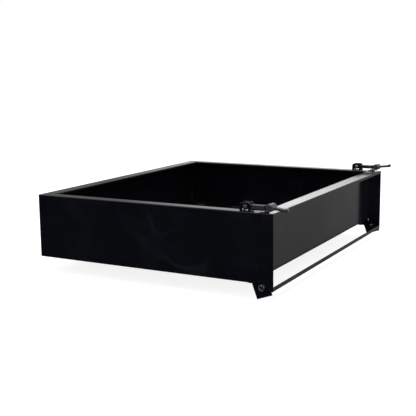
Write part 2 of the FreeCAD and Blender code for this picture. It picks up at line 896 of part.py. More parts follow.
def latch_strap(label, side, tab_tilt):
    """A moulded rubber strap: an eye, a flat bar, a cross head and a pull tab."""
    half = dim("strap_width") / 2
    low_x = side * latch_x - half
    eye_y = seam + dim("pin_setback")
    eye_z = wall_top + dim("pin_height")
    head_y = seam - dim("head_out")
    head_z = wall_top + dim("head_height")
    lying = {"axis": (0, 1, 0), "angle": 90.0}
    eye = cylinder(label + "_eye", dim("eye_radius"), dim("strap_width"), x=low_x, y=eye_y, z=eye_z, **lying)
    bar = box(
        label + "_bar",
        dim("strap_width"),
        eye_y - head_y,
        dim("strap_thickness"),
        x=low_x,
        y=head_y,
        z=wall_top + dim("strap_centre") - dim("strap_thickness") / 2,
    )
    head_low_x = side * latch_x - dim("head_width") / 2
    head = cylinder(label + "_head", dim("head_radius"), dim("head_width"),
                    x=head_low_x, y=head_y, z=head_z, **lying)
    slope = math.radians(tab_tilt)
    length = dim("tab_length")
    tab = box(
        label + "_tab",
        dim("strap_width"),
        length,
        dim("tab_thickness"),
        x=low_x,
        y=head_y - length * math.cos(slope) - dim("tab_thickness") / 2 * math.sin(slope),
        z=head_z + length * math.sin(slope) - dim("tab_thickness") / 2 * math.cos(slope),
        axis=(-1, 0, 0),
        angle=tab_tilt,
    )
    tip = cylinder(
        label + "_tip",
        dim("tip_radius"),
        dim("strap_width"),
        x=low_x,
        y=head_y - length * math.cos(slope),
        z=head_z + length * math.sin(slope) + dim("tip_rise"),
        **lying,
    )
    solid = fuse(label + "_solid", eye, bar, head, tab, tip)
    bore = dim("pin_radius") + dim("pin_clearance")
    hole = cylinder(label + "_hole", bore, dim("strap_width") + OVERRUN * 2,
                    x=low_x - OVERRUN, y=eye_y, z=eye_z, **lying)
    return cut(label, solid, hole)


def keeper_bolt_places(side):
    y = seam - dim("keeper_bolt_out")
    spread = dim("keeper_bolt_spread")
    return [(side * (latch_x - spread), y), (side * (latch_x + spread), y)]


def latch_keeper(label, side):
    """An angle on the tailgate's top flange, whose upright is forked for the strap."""
    body = new_body(label)
    thick = dim("keeper_gauge")
    face = seam - dim("keeper_face_out")
    back = gate_inner - dim("keeper_setback")
    base = wall_top
    middle = side * latch_x
    half = dim("keeper_width") / 2
    profile = new_sketch(body, "YZ_Plane", label + "_profile", middle - half)
    add_outline(profile, [
        (face, base),
        (back, base),
        (back, base + thick),
        (face + thick, base + thick),
        (face + thick, base + dim("keeper_height")),
        (face, base + dim("keeper_height")),
    ])
    pad(body, profile, dim("keeper_width"))
    round_bends(body, 0, [(face, base)], thick)
    fork = new_sketch(body, "XZ_Plane", label + "_fork", -face)
    slot = dim("keeper_slot") / 2
    fork_top = base + dim("keeper_height") + OVERRUN
    add_box_outline(fork, middle - slot, base + dim("keeper_sill"), middle + slot, fork_top)
    pocket(body, fork)
    holes = new_sketch(body, "XY_Plane", label + "_holes", base + thick)
    for x, y in keeper_bolt_places(side):
        add_circle(holes, x, y, M5_HOLE)
    pocket(body, holes, thick)
    return body


def keeper_fasteners():
    bolts = []
    nuts = []
    for name, side in SIDES.items():
        for number, (x, y) in enumerate(keeper_bolt_places(side), start=1):
            tag = "%s_%d" % (name, number)
            bolt = dome_bolt("keeper_bolt_" + tag, *M5_DOME_BOLT)
            bolts.append(place(bolt, x, y, wall_top + dim("keeper_gauge")))
            below = nut("keeper_nut_" + tag, *M5_NUT)
            nuts.append(place(below, x, y, wall_top - gauge - M5_NUT[2]))
    return group("keeper_bolts", bolts), group("keeper_nuts", nuts)


# ---------------------------------------------------------------- assembly

TAB_TILT = {"left": -8.0, "right": 7.0}

parts.append(floor_panel("floor_panel"))
parts.extend(floor_bars())
parts.append(front_wall("front_wall"))
parts.append(tailgate_pan("tailgate_pan"))
parts.append(bottom_rail("tailgate_bottom_rail"))
for name, side in SIDES.items():
    parts.append(side_wall("side_wall_" + name, side))
    parts.append(mounting_channel("mounting_channel_" + name, side))
    parts.append(hinge_bracket("hinge_bracket_" + name, side))
    parts.extend(hinge_pieces(name, side))
    parts.append(latch_anchor("latch_anchor_" + name, side))
    parts.append(latch_keeper("latch_keeper_" + name, side))
    parts.append(latch_strap("latch_strap_" + name, side, TAB_TILT[name]))
parts.append(flange_rivets())
parts.extend(floor_fasteners())
parts.extend(bracket_fasteners())
parts.extend(hinge_locks())
parts.extend(anchor_fasteners())
parts.extend(latch_pins())
parts.extend(keeper_fasteners())
doc.recompute()

for thing in doc.Objects:
    bad = {"Invalid", "Error"} & set(thing.State)
    if bad:
        raise RuntimeError("%s is %s" % (thing.Label, ", ".join(sorted(bad))))
for part in parts:
    if part.Shape.isNull() or not part.Shape.isValid():
        raise RuntimeError("%s has no valid shape" % part.Label)

os.makedirs("parts", exist_ok=True)
for part in parts:
    part.Shape.exportStep("parts/%s.step" % part.Label)
    volume = part.Shape.Volume / 1000.0
    print("%-26s %2d solids %9.1f cm3" % (part.Label, len(part.Shape.Solids), volume))
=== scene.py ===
import json
import math
import random

import bmesh
import bpy
from mathutils import Matrix, Vector


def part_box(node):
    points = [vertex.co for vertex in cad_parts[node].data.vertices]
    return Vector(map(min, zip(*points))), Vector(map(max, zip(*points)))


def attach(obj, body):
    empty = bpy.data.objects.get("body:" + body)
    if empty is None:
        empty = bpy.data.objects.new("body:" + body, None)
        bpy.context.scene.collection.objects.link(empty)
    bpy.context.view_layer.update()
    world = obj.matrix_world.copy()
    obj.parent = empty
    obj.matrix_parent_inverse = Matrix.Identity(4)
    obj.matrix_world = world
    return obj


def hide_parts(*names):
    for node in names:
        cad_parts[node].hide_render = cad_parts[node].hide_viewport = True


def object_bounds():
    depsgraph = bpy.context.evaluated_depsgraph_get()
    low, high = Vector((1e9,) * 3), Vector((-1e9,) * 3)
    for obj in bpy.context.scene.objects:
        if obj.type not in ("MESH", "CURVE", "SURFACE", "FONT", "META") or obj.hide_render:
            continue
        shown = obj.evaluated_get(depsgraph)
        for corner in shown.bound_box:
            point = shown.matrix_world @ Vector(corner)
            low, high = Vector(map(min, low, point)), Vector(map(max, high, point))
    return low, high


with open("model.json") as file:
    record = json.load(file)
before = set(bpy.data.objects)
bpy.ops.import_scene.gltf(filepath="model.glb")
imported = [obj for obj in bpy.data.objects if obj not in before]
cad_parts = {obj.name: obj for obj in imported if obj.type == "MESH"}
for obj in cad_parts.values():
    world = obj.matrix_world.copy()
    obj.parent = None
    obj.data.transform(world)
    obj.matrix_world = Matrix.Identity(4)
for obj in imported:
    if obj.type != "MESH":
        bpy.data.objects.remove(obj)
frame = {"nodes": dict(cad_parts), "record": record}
cad_low, cad_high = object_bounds()

MM = 0.001
SIDES = {"left": -1.0, "right": 1.0}
nodes = frame["nodes"]


# ---------------------------------------------------------------- materials

COLOR_A, COLOR_B, COLOR_OUT = 6, 7, 2


class Graph:
    """The node tree of a material or world, with short calls for making and joining nodes."""

    def __init__(self, owner, coordinates):
        owner.use_nodes = True
        self.owner = owner
        self.tree = owner.node_tree
        self.place = self.add("ShaderNodeTexCoord").outputs[coordinates]

    def add(self, kind, **settings):
        node = self.tree.nodes.new(kind)
        for name, value in settings.items():
            setattr(node, name, value)
        return node

    def join(self, source, target):
        self.tree.links.new(source, target)

    def noise(self, scale, detail=4.0, stretch=(1, 1, 1), roughness=0.5):
        """Noise from 0 to 1 with features about 1/scale metres across."""
        mapping = self.add("ShaderNodeMapping")
        mapping.inputs["Scale"].default_value = stretch
        self.join(self.place, mapping.inputs["Vector"])
        node = self.add("ShaderNodeTexNoise")
        node.inputs["Scale"].default_value = scale
        node.inputs["Detail"].default_value = detail
        node.inputs["Roughness"].default_value = roughness
        self.join(mapping.outputs["Vector"], node.inputs["Vector"])
        return node.outputs["Fac"]

    def swirl(self, scale, distortion):
        """Wandering rings from 0 to 1, as a polishing cloth leaves them."""
        node = self.add("ShaderNodeTexWave", wave_type="RINGS", rings_direction="SPHERICAL")
        node.inputs["Scale"].default_value = scale
        node.inputs["Distortion"].default_value = distortion
        node.inputs["Detail Scale"].default_value = 0.8
        self.join(self.place, node.inputs["Vector"])
        return node.outputs["Fac"]

    def spread(self, value, low, high, out_low=0.0, out_high=1.0, shape="LINEAR"):
        """Stretches a value's range, clamped."""
        node = self.add("ShaderNodeMapRange", interpolation_type=shape)
        node.inputs["From Min"].default_value = low
        node.inputs["From Max"].default_value = high
        node.inputs["To Min"].default_value = out_low
        node.inputs["To Max"].default_value = out_high
        self.join(value, node.inputs["Value"])
        return node.outputs["Result"]

    def maths(self, operation, a, b):
        """Combines two values, each a number or a node's output."""
        node = self.add("ShaderNodeMath", operation=operation)
        for socket, value in zip(node.inputs, (a, b)):
            if isinstance(value, (int, float)):
                socket.default_value = value
            else:
                self.join(value, socket)
        return node.outputs["Value"]

    def mix(self, factor, a, b):
        """A colour between a and b."""
        node = self.add("ShaderNodeMix", data_type="RGBA")
        self.join(factor, node.inputs["Factor"])
        for socket, value in zip((node.inputs[COLOR_A], node.inputs[COLOR_B]), (a, b)):
            if isinstance(value, tuple):
                socket.default_value = (*value, 1.0)
            else:
                self.join(value, socket)
        return node.outputs[COLOR_OUT]

    def edges(self, radius):
        """1 on sharp outside edges, falling to 0 within about the radius."""
        bevel = self.add("ShaderNodeBevel")
        bevel.inputs["Radius"].default_value = radius
        geometry = self.add("ShaderNodeNewGeometry")
        facing = self.add("ShaderNodeVectorMath", operation="DOT_PRODUCT")
        self.join(bevel.outputs["Normal"], facing.inputs[0])
        self.join(geometry.outputs["Normal"], facing.inputs[1])
        return self.spread(facing.outputs["Value"], 0.98, 0.80)

    def bump(self, height, distance, strength, below=None):
        """A normal tilted by a height, on top of another normal if one is given."""
        node = self.add("ShaderNodeBump")
        node.inputs["Strength"].default_value = strength
        node.inputs["Distance"].default_value = distance
        self.join(height, node.inputs["Height"])
        if below is not None:
            self.join(below, node.inputs["Normal"])
        return node.outputs["Normal"]

    def finish(self, color, roughness, normal, **settings):
        """Joins a surface's looks to its shader and gives the material."""
        shader = self.tree.nodes["Principled BSDF"]
        self.join(color, shader.inputs["Base Color"])
        self.join(roughness, shader.inputs["Roughness"])
        self.join(normal, shader.inputs["Normal"])
        for name, value in settings.items():
            shader.inputs[name.replace("_", " ")].default_value = value
        return self.owner


def surface_graph(name):
    return Graph(bpy.data.materials.new(name), "Object")


def powder_coat(name, edge_wear_and_highlight):
    """Gloss black powder coat: orange peel, faint rubbed swirls, a little dust, worn edges with painted
    highlight.
    """
    g = surface_graph(name)
    tone = g.mix(g.noise(3.0), (0.0018, 0.0021, 0.0034), (0.0034, 0.0038, 0.0056))
    patches = g.spread(g.noise(4.0, detail=3.0), 0.45, 0.70)
    scratches = g.spread(g.swirl(2.6, 14.0), 0.975, 1.0)
    rubbed = g.maths("MULTIPLY", patches, scratches)
    haze = g.spread(g.noise(5.5, detail=7.0, stretch=(1, 1, 2.2), roughness=0.62), 0.50, 0.80)
    marks = g.maths("MAXIMUM", g.maths("MULTIPLY", rubbed, 0.45), g.maths("MULTIPLY", haze, 0.26))
    marked = g.mix(marks, tone, (0.011, 0.0125, 0.018))
    specks = g.spread(g.noise(900.0, detail=2.0), 0.70, 0.78)
    dusty = g.mix(g.maths("MULTIPLY", specks, 0.25), marked, (0.04, 0.04, 0.045))
    # The edges are lightened partly as chipped wear and partly as a painted highlight.
    chipped = g.spread(g.noise(60.0, detail=6.0), 0.45, 0.7)
    worn_and_highlit_edges = g.maths("MULTIPLY", g.maths("MULTIPLY", g.edges(0.7 * MM), chipped), edge_wear_and_highlight)
    color = g.mix(worn_and_highlit_edges, dusty, (0.06, 0.064, 0.078))
    gloss = g.spread(g.noise(6.0, detail=6.0), 0.3, 0.7, 0.09, 0.16)
    roughness = g.maths("ADD", gloss, g.maths("MULTIPLY", marks, 0.16))
    peel = g.bump(g.noise(420.0, detail=3.0), 0.08 * MM, 0.35)
    normal = g.bump(g.noise(9.0, detail=2.0), 0.8 * MM, 0.25, below=peel)
    return g.finish(color, roughness, normal)


def zinc_plate():
    """Zinc-plated steel, dulled, with a faint blue and straw passivation, and a painted highlight along its
    edges.
    """
    g = surface_graph("dull_zinc_plate")
    tint = g.mix(g.noise(160.0), (0.30, 0.30, 0.34), (0.40, 0.385, 0.36))
    grime = g.spread(g.noise(320.0, detail=6.0, roughness=0.7), 0.55, 0.75)
    color = g.mix(grime, tint, (0.10, 0.10, 0.105))
    # A painted highlight: every edge is lightened towards pale zinc.
    bright = g.mix(g.edges(0.4 * MM), color, (0.55, 0.55, 0.57))
    roughness = g.spread(g.noise(240.0, detail=5.0), 0.3, 0.7, 0.20, 0.38)
    normal = g.bump(g.noise(1500.0, detail=2.0), 0.02 * MM, 0.5)
    return g.finish(bright, roughness, normal, Metallic=1.0)


def moulded_rubber():
    """Black moulded rubber: a fine grain with a slight shine, and bloom in patches."""
    g = surface_graph("black_moulded_rubber")
    tone = g.mix(g.noise(70.0), (0.011, 0.011, 0.0145), (0.020, 0.020, 0.026))
    bloom = g.spread(g.noise(130.0, detail=7.0, roughness=0.7), 0.5, 0.78)
    color = g.mix(g.maths("MULTIPLY", bloom, 0.35), tone, (0.04, 0.04, 0.046))
    roughness = g.spread(g.noise(200.0, detail=5.0), 0.3, 0.7, 0.20, 0.34)
    normal = g.bump(g.noise(1800.0, detail=3.0), 0.04 * MM, 0.35)
    return g.finish(color, roughness, normal, Sheen_Weight=0.05)


LOOKS = {
    "black_powder_coat": powder_coat("gloss_black_powder_coat", 1.0),
    "coated_weld": powder_coat("powder_coated_weld", 0.12),
    "zinc_plate": zinc_plate(),
    "black_rubber": moulded_rubber(),
}


# ---------------------------------------------------------------- carried-over CAD nodes

SLOTS = {row["node"]: row["material_slot"] for row in frame["record"]["subparts"]}
SAME_POINT = 0.01 * MM
CUT_EDGE = 0.35 * MM
PLATE_EDGE = 0.7 * MM
THICK_PLATES = ("hinge_bracket", "latch_anchor", "latch_keeper")
SMOOTH_ANGLE = math.radians(32)


def smooth_by_angle():
    """Geometry nodes that shade smooth, except across edges sharper than the smooth angle."""
    tree = bpy.data.node_groups.new("smooth_by_angle", "GeometryNodeTree")
    tree.interface.new_socket("Geometry", in_out="INPUT", socket_type="NodeSocketGeometry")
    tree.interface.new_socket("Geometry", in_out="OUTPUT", socket_type="NodeSocketGeometry")
    come_in = tree.nodes.new("NodeGroupInput")
    go_out = tree.nodes.new("NodeGroupOutput")
    faces = tree.nodes.new("GeometryNodeSetShadeSmooth")
    edges = tree.nodes.new("GeometryNodeSetShadeSmooth")
    edges.domain = "EDGE"
    edges.inputs["Shade Smooth"].default_value = False
    angle = tree.nodes.new("GeometryNodeInputMeshEdgeAngle")
    sharp = tree.nodes.new("FunctionNodeCompare")
    sharp.operation = "GREATER_THAN"
    sharp.inputs[1].default_value = SMOOTH_ANGLE
    tree.links.new(come_in.outputs[0], faces.inputs["Geometry"])
    tree.links.new(faces.outputs["Geometry"], edges.inputs["Geometry"])
    tree.links.new(angle.outputs["Unsigned Angle"], sharp.inputs[0])
    tree.links.new(sharp.outputs["Result"], edges.inputs["Selection"])
    tree.links.new(edges.outputs["Geometry"], go_out.inputs[0])
    return tree


SMOOTHING = smooth_by_angle()


def shade_smooth(thing):
    """Smooth bends beside flats that still shade flat."""
    shading = thing.modifiers.new("shading", "NODES")
    shading.node_group = SMOOTHING
    flats = thing.modifiers.new("flats", "WEIGHTED_NORMAL")
    flats.weight = 100
    flats.keep_sharp = True


def dress_cad_nodes():
    """Gives each carried-over CAD node its material, rounded cut edges and smooth bends."""
    for name, thing in nodes.items():
        thing.data.materials.clear()
        thing.data.materials.append(LOOKS[SLOTS[name]])
        weld = thing.modifiers.new("join_faces", "WELD")
        weld.merge_threshold = SAME_POINT
        bevel = thing.modifiers.new("cut_edges", "BEVEL")
        bevel.width = PLATE_EDGE if name.startswith(THICK_PLATES) else CUT_EDGE
        bevel.segments = 2
        bevel.angle_limit = SMOOTH_ANGLE
        shade_smooth(thing)


# ---------------------------------------------------------------- new pieces: helpers


def solids_of(name):
    """The lowest and highest corners of each separate solid in a CAD node, in a fixed order."""
    work = bmesh.new()
    work.from_mesh(nodes[name].data)
    bmesh.ops.remove_doubles(work, verts=work.verts, dist=SAME_POINT)
    unseen = set(work.verts)
    boxes = []
    while unseen:
        pile = [unseen.pop()]
        found = []
        while pile:
            vertex = pile.pop()
            found.append(vertex.co.copy())
            for edge in vertex.link_edges:
                other = edge.other_vert(vertex)
                if other in unseen:
                    unseen.remove(other)
                    pile.append(other)
        low = Vector([min(point[i] for point in found) for i in range(3)])
        high = Vector([max(point[i] for point in found) for i in range(3)])
        boxes.append((low, high))
    work.free()
    return sorted(boxes, key=lambda ends: tuple(ends[0]))


def on_axis(low, high, direction):
    """The placement of a turned piece: its origin on the box's first face, its +Z along direction."""
    direction = Vector(direction)
    middle = (low + high) / 2
    reach = sum(abs(direction[i]) * (high[i] - low[i]) for i in range(3))
    turn = direction.to_track_quat("Z", "Y").to_matrix().to_4x4()
    return Matrix.Translation(middle - direction * reach / 2) @ turn, reach


def add_rings(mesh, place, rings, closed=False):
    """Skins a stack of rings of equal length, given in the piece's own frame."""
    made = [[mesh.verts.new(place @ Vector(point)) for point in ring] for ring in rings]
    count = len(rings[0])
    pairs = list(zip(made, made[1:]))
    if closed:
        pairs.append((made[-1], made[0]))
    for lower, upper in pairs:
        for i in range(count):
            j = (i + 1) % count
            mesh.faces.new((lower[i], lower[j], upper[j], upper[i]))
    if not closed:
        mesh.faces.new(list(reversed(made[0])))
        mesh.faces.new(made[-1])


STEPS = 48
CHAMFER_SLOPE = 0.55
WASHER_FACE = 0.48
CREST_GAP = 0.02 * MM
RINGS_PER_TURN = 4
END_CHAMFER = 1.2
SOCKET_DEPTH = 0.55
DOME_RINGS = 7
DOME_SHARE = 0.93
DOME_FIRST = math.radians(22)


def polar(radius, angle, height):
    return (radius * math.cos(angle), radius * math.sin(angle), height)


def round_ring(radius, height, steps=STEPS):
    """A circle of points at a height."""
    return [polar(radius, 2 * math.pi * i / steps, height) for i in range(steps)]


def hex_ring(flats, height, slope=0.0):
    """A hexagon of points; with a slope, the corners drop as a chamfer cone cuts them."""
    points = []
    for i in range(STEPS):
        angle = 2 * math.pi * i / STEPS
        off_flat = (angle + math.pi / 6) % (math.pi / 3) - math.pi / 6
        radius = flats / 2 / math.cos(off_flat)
        drop = slope * (radius - flats / 2)
        points.append(polar(radius, angle, height + drop))
    return points


def thread_rings(thread, first, last):
    """A threaded shank's rings: a helical crest, with a chamfered end."""
    depth = 0.5 * thread["pitch"]
    crest = thread["radius"] - CREST_GAP
    count = int(RINGS_PER_TURN * (last - first) / thread["pitch"])
    rings = []
    for k in range(count + 1):
        height = first + (last - first) * k / count
        near_end = min(1.0, (last - height) / (END_CHAMFER * depth))
        ring = []
        for i in range(STEPS):
            angle = 2 * math.pi * i / STEPS
            phase = ((height - first) / thread["pitch"] - i / STEPS) % 1.0
            groove = depth * abs(2 * phase - 1)
            size = crest - max(groove, depth * (1 - near_end))
            ring.append(polar(size, angle, height))
        rings.append(ring)
    return rings


def add_hex_head(mesh, place, flats, height):
    """A hexagon head, dished and chamfered on top, with a washer face underneath."""
    step = 0.03 * flats
    add_rings(mesh, place, [
        round_ring(0.44 * flats, step),
        round_ring(0.47 * flats, 0.0),
        round_ring(0.485 * flats, 0.0),
        hex_ring(flats, 0.01 * flats, CHAMFER_SLOPE),
        hex_ring(flats, height - step),
        round_ring(WASHER_FACE * flats, height - step),
        round_ring(WASHER_FACE * flats, height),
    ])


def add_hex_nut(mesh, place, flats, bore, height):
    """A nut with chamfered corners on both faces and a countersunk bore."""
    countersink = 0.1 * bore
    rise = 0.01 * flats
    add_rings(mesh, place, [
        round_ring(bore * 1.12, 0.0),
        round_ring(WASHER_FACE * flats, 0.0),
        hex_ring(flats, rise, CHAMFER_SLOPE),
        hex_ring(flats, height - rise, -CHAMFER_SLOPE),
        round_ring(WASHER_FACE * flats, height),
        round_ring(bore * 1.12, height),
        round_ring(bore, height - countersink),
        round_ring(bore, countersink),
    ], closed=True)


def add_ring_piece(mesh, place, radius, bore, height, chamfer):
    """A washer or bush with all four of its edges chamfered."""
    add_rings(mesh, place, [
        round_ring(bore + chamfer, 0.0),
        round_ring(radius - chamfer, 0.0),
        round_ring(radius, chamfer),
        round_ring(radius, height - chamfer),
        round_ring(radius - chamfer, height),
        round_ring(bore + chamfer, height),
        round_ring(bore, height - chamfer),
        round_ring(bore, chamfer),
    ], closed=True)


def add_dome(mesh, place, radius, height, socket):
    """A button head from its top at 0 to its underside, with a hexagon socket or a closed top."""
    rings = []
    if socket:
        depth = SOCKET_DEPTH * height
        rings.append(hex_ring(socket * 0.6, depth * 1.1))
        rings.append(hex_ring(socket, depth))
        rings.append(hex_ring(socket, 0.04 * height))
        rings.append(hex_ring(socket * 1.1, 0.0))
    else:
        rings.append(round_ring(0.02 * radius, 0.0))
    for k in range(DOME_RINGS):
        angle = DOME_FIRST + (math.pi / 2 - DOME_FIRST) * k / (DOME_RINGS - 1)
        rings.append(round_ring(radius * math.sin(angle), DOME_SHARE * height * (1 - math.cos(angle))))
    rings.append(round_ring(radius * 0.985, height))
    add_rings(mesh, place, rings)


def plain_object(name, mesh):
    """An object of the mesh, with no look yet."""
    bmesh.ops.recalc_face_normals(mesh, faces=mesh.faces)
    data = bpy.data.meshes.new(name)
    mesh.to_mesh(data)
    mesh.free()
    thing = bpy.data.objects.new(name, data)
    bpy.context.scene.collection.objects.link(thing)
    return thing


def finish_piece(thing, look, body, *replaced):
    """Gives a piece its look, ties it to its body, and hides the CAD nodes that it stands for."""
    thing.data.materials.append(LOOKS[look])
    shade_smooth(thing)
    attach(thing, body)
    if replaced:
        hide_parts(*replaced)


def turned_piece(mesh, node, body):
    """Puts a turned mesh in the place of a CAD node."""
    finish_piece(plain_object(node + "_turned", mesh), SLOTS[node], body, node)


# ---------------------------------------------------------------- fasteners

M5 = {"radius": 2.5 * MM, "pitch": 0.8 * MM}
M6 = {"radius": 3.0 * MM, "pitch": 1.0 * MM}
M8 = {"radius": 4.0 * MM, "pitch": 1.25 * MM}
M12 = {"radius": 6.0 * MM, "pitch": 1.75 * MM}
UP = (0, 0, 1)
DOWN = (0, 0, -1)
RING_CHAMFER = 0.25 * MM
PIN_HEAD = 2.0 * MM
PIN_RADIUS = 4.0 * MM
CLIP_TEETH = 6
CLIP_GAP_SHARE = 0.25
CLIP_GAP_RADIUS = 5.1 * MM
CLIP_SHOULDER = 5.3 * MM
CLIP_GAUGE = 0.5 * MM
CLIP_DISH = 0.4 * MM
RIVET_HEAD = 1.6 * MM
RIVET_HOLE = 1.2 * MM
RIVET_SHANK = 2.4 * MM


def inwards(low, high):
    """The direction along X towards the middle of the box."""
    return (-1, 0, 0) if low.x + high.x > 0 else (1, 0, 0)


def hex_bolts(node, body, thread, flats, head, direction=None):
    mesh = bmesh.new()
    for low, high in solids_of(node):
        place, reach = on_axis(low, high, direction or inwards(low, high))
        add_hex_head(mesh, place, flats, head)
        add_rings(mesh, place, thread_rings(thread, head, reach))
    turned_piece(mesh, node, body)


def dome_bolts(node, body, thread, radius, head, socket=0.0):
    mesh = bmesh.new()
    for low, high in solids_of(node):
        place, reach = on_axis(low, high, DOWN)
        add_dome(mesh, place, radius, head, socket)
        add_rings(mesh, place, thread_rings(thread, head, reach))
    turned_piece(mesh, node, body)


def hex_nuts(node, body, thread, flats, direction=None):
    mesh = bmesh.new()
    for low, high in solids_of(node):
        place, reach = on_axis(low, high, direction or inwards(low, high))
        add_hex_nut(mesh, place, flats, thread["radius"], reach)
    turned_piece(mesh, node, body)


def flat_rings(node, body, bore):
    """Washers or bushes lying across the box."""
    mesh = bmesh.new()
    for low, high in solids_of(node):
        place, reach = on_axis(low, high, inwards(low, high))
        add_ring_piece(mesh, place, (high.z - low.z) / 2, bore, reach, RING_CHAMFER)
    turned_piece(mesh, node, body)


def pins():
    """Latch pins: a chamfered head, a plain shank and a rounded tip."""
    mesh = bmesh.new()
    for low, high in solids_of("latch_pins"):
        place, reach = on_axis(low, high, inwards(low, high))
        wide = (high.z - low.z) / 2
        add_rings(mesh, place, [
            round_ring(wide - 0.6 * MM, 0.0),
            round_ring(wide, 0.5 * MM),
            round_ring(wide, PIN_HEAD - 0.2 * MM),
            round_ring(wide - 0.2 * MM, PIN_HEAD),
            round_ring(PIN_RADIUS, PIN_HEAD),
            round_ring(PIN_RADIUS, reach - 1.0 * MM),
            round_ring(PIN_RADIUS - 0.35 * MM, reach - 0.35 * MM),
            round_ring(PIN_RADIUS - 1.1 * MM, reach),
        ])
    turned_piece(mesh, "latch_pins", "tub")


def tooth_ring(height):
    """The inner edge of a clip: teeth that reach the pin, with gaps between them."""
    points = []
    for i in range(STEPS):
        in_gap = (i * CLIP_TEETH / STEPS) % 1.0 < CLIP_GAP_SHARE
        size = CLIP_GAP_RADIUS if in_gap else PIN_RADIUS
        angle = 2 * math.pi * i / STEPS
        points.append(polar(size, angle, height))
    return points


def clips():
    """Push-on clips: a dished ring whose inner edge is cut into teeth that grip the pin."""
    mesh = bmesh.new()
    for low, high in solids_of("latch_pin_clips"):
        place, reach = on_axis(low, high, inwards(low, high))
        outer = (high.z - low.z) / 2
        add_rings(mesh, place, [
            tooth_ring(reach - CLIP_GAUGE),
            round_ring(CLIP_SHOULDER, CLIP_DISH),
            round_ring(outer, 0.0),
            round_ring(outer, CLIP_GAUGE),
            round_ring(CLIP_SHOULDER, CLIP_DISH + CLIP_GAUGE),
            tooth_ring(reach),
        ], closed=True)
    turned_piece(mesh, "latch_pin_clips", "tub")


def rivets():
    """Blind rivets: a domed head with the hole that its broken-off mandrel leaves."""
    mesh = bmesh.new()
    for low, high in solids_of("flange_rivets"):
        outwards = tuple(-part for part in inwards(low, high))
        place, reach = on_axis(low, high, outwards)
        radius = (high.z - low.z) / 2
        add_rings(mesh, place, [
            round_ring(0.02 * MM, 1.0 * MM),
            round_ring(RIVET_HOLE - 0.1 * MM, 0.9 * MM),
            round_ring(RIVET_HOLE, 0.1 * MM),
            round_ring(0.5 * radius, 0.0),
            round_ring(0.8 * radius, 0.3 * RIVET_HEAD),
            round_ring(0.96 * radius, 0.65 * RIVET_HEAD),
            round_ring(radius, RIVET_HEAD),
            round_ring(RIVET_SHANK, RIVET_HEAD),
            round_ring(RIVET_SHANK, reach),
        ])
    turned_piece(mesh, "flange_rivets", "tailgate")


def fasteners():
    hex_bolts("bracket_bolts", "tub", M6, flats=10.0 * MM, head=3.0 * MM, direction=UP)
    dome_bolts("floor_bolts", "tub", M8, radius=9.5 * MM, head=4.5 * MM)
    dome_bolts("anchor_bolts", "tub", M6, radius=5.5 * MM, head=3.4 * MM, socket=4.0 * MM)
    dome_bolts("keeper_bolts", "tailgate", M5, radius=4.7 * MM, head=2.8 * MM, socket=3.0 * MM)
    hex_nuts("floor_nuts", "tub", M8, flats=13.0 * MM, direction=UP)
    hex_nuts("bracket_nuts", "tub", M6, flats=10.0 * MM, direction=UP)
    hex_nuts("anchor_nuts", "tub", M6, flats=10.0 * MM, direction=UP)
    hex_nuts("keeper_nuts", "tailgate", M5, flats=8.0 * MM, direction=UP)
    hex_nuts("hinge_nuts", "tub", M12, flats=19.0 * MM)
    flat_rings("hinge_washers", "tub", bore=6.25 * MM)
    for side in SIDES:
        hex_bolts("hinge_bolt_" + side, "tub", M12, flats=19.0 * MM, head=7.5 * MM)
        flat_rings("hinge_bush_" + side, "tailgate", bore=6.08 * MM)
    pins()
    clips()
    rivets()


# ---------------------------------------------------------------- rubber latch straps

STRAP_WIDTH = 18.0 * MM
EYE_RADIUS = 10.0 * MM
PIN_BORE = 4.1 * MM
BAR_CENTRE = 15.5 * MM
BAR_THICKNESS = 13.0 * MM
HEAD_OUT = 37.0 * MM
HEAD_RISE = 17.0 * MM
HEAD_RADIUS = 12.4 * MM
HEAD_WIDTH = 39.6 * MM
TAB_THICKNESS = 9.0 * MM
TAB_LENGTH = 53.0 * MM
TIP_RADIUS = 6.4 * MM
TIP_RISE = 1.0 * MM
TAB_TILT = {"left": math.radians(-8), "right": math.radians(7)}
GRIP_RIBS = 6
RIB_LENGTH = 2.6 * MM
RELIEF = 1.0 * MM
BAR_RAIL = 3.6 * MM
VOXEL = 0.75 * MM
SOFTENING = 5


def add_slab(mesh, place, size):
    """A box about the placement's origin."""
    half = Vector(size) / 2
    corners = [(-half.x, -half.y), (half.x, -half.y), (half.x, half.y), (-half.x, half.y)]
    add_rings(mesh, place, [[(x, y, z) for x, y in corners] for z in (-half.z, half.z)])


def add_roll(mesh, middle, radius, width, dome):
    """A cylinder along X with ends domed by the given amount."""
    place = Matrix.Translation(middle) @ Matrix.Rotation(math.pi / 2, 4, "Y")
    half = width / 2
    add_rings(mesh, place, [
        round_ring(radius - dome, -half),
        round_ring(radius - 0.3 * dome, -half + 0.3 * dome),
        round_ring(radius, -half + dome),
        round_ring(radius, half - dome),
        round_ring(radius - 0.3 * dome, half - 0.3 * dome),
        round_ring(radius - dome, half),
    ])


def add_bar(mesh, eye, head, bar_z):
    """The stretching part: a web between two thicker rails, from the eye to the cross head."""
    middle = Vector((eye.x, (eye.y + head.y) / 2, bar_z))
    length = eye.y - head.y
    web = (STRAP_WIDTH - RELIEF, length, BAR_THICKNESS - 2 * RELIEF)
    add_slab(mesh, Matrix.Translation(middle), web)
    for edge in (-1, 1):
        rail = middle + Vector((edge * (STRAP_WIDTH / 2 - 2.2 * MM), 0, 0))
        add_slab(mesh, Matrix.Translation(rail), (BAR_RAIL, length, BAR_THICKNESS))


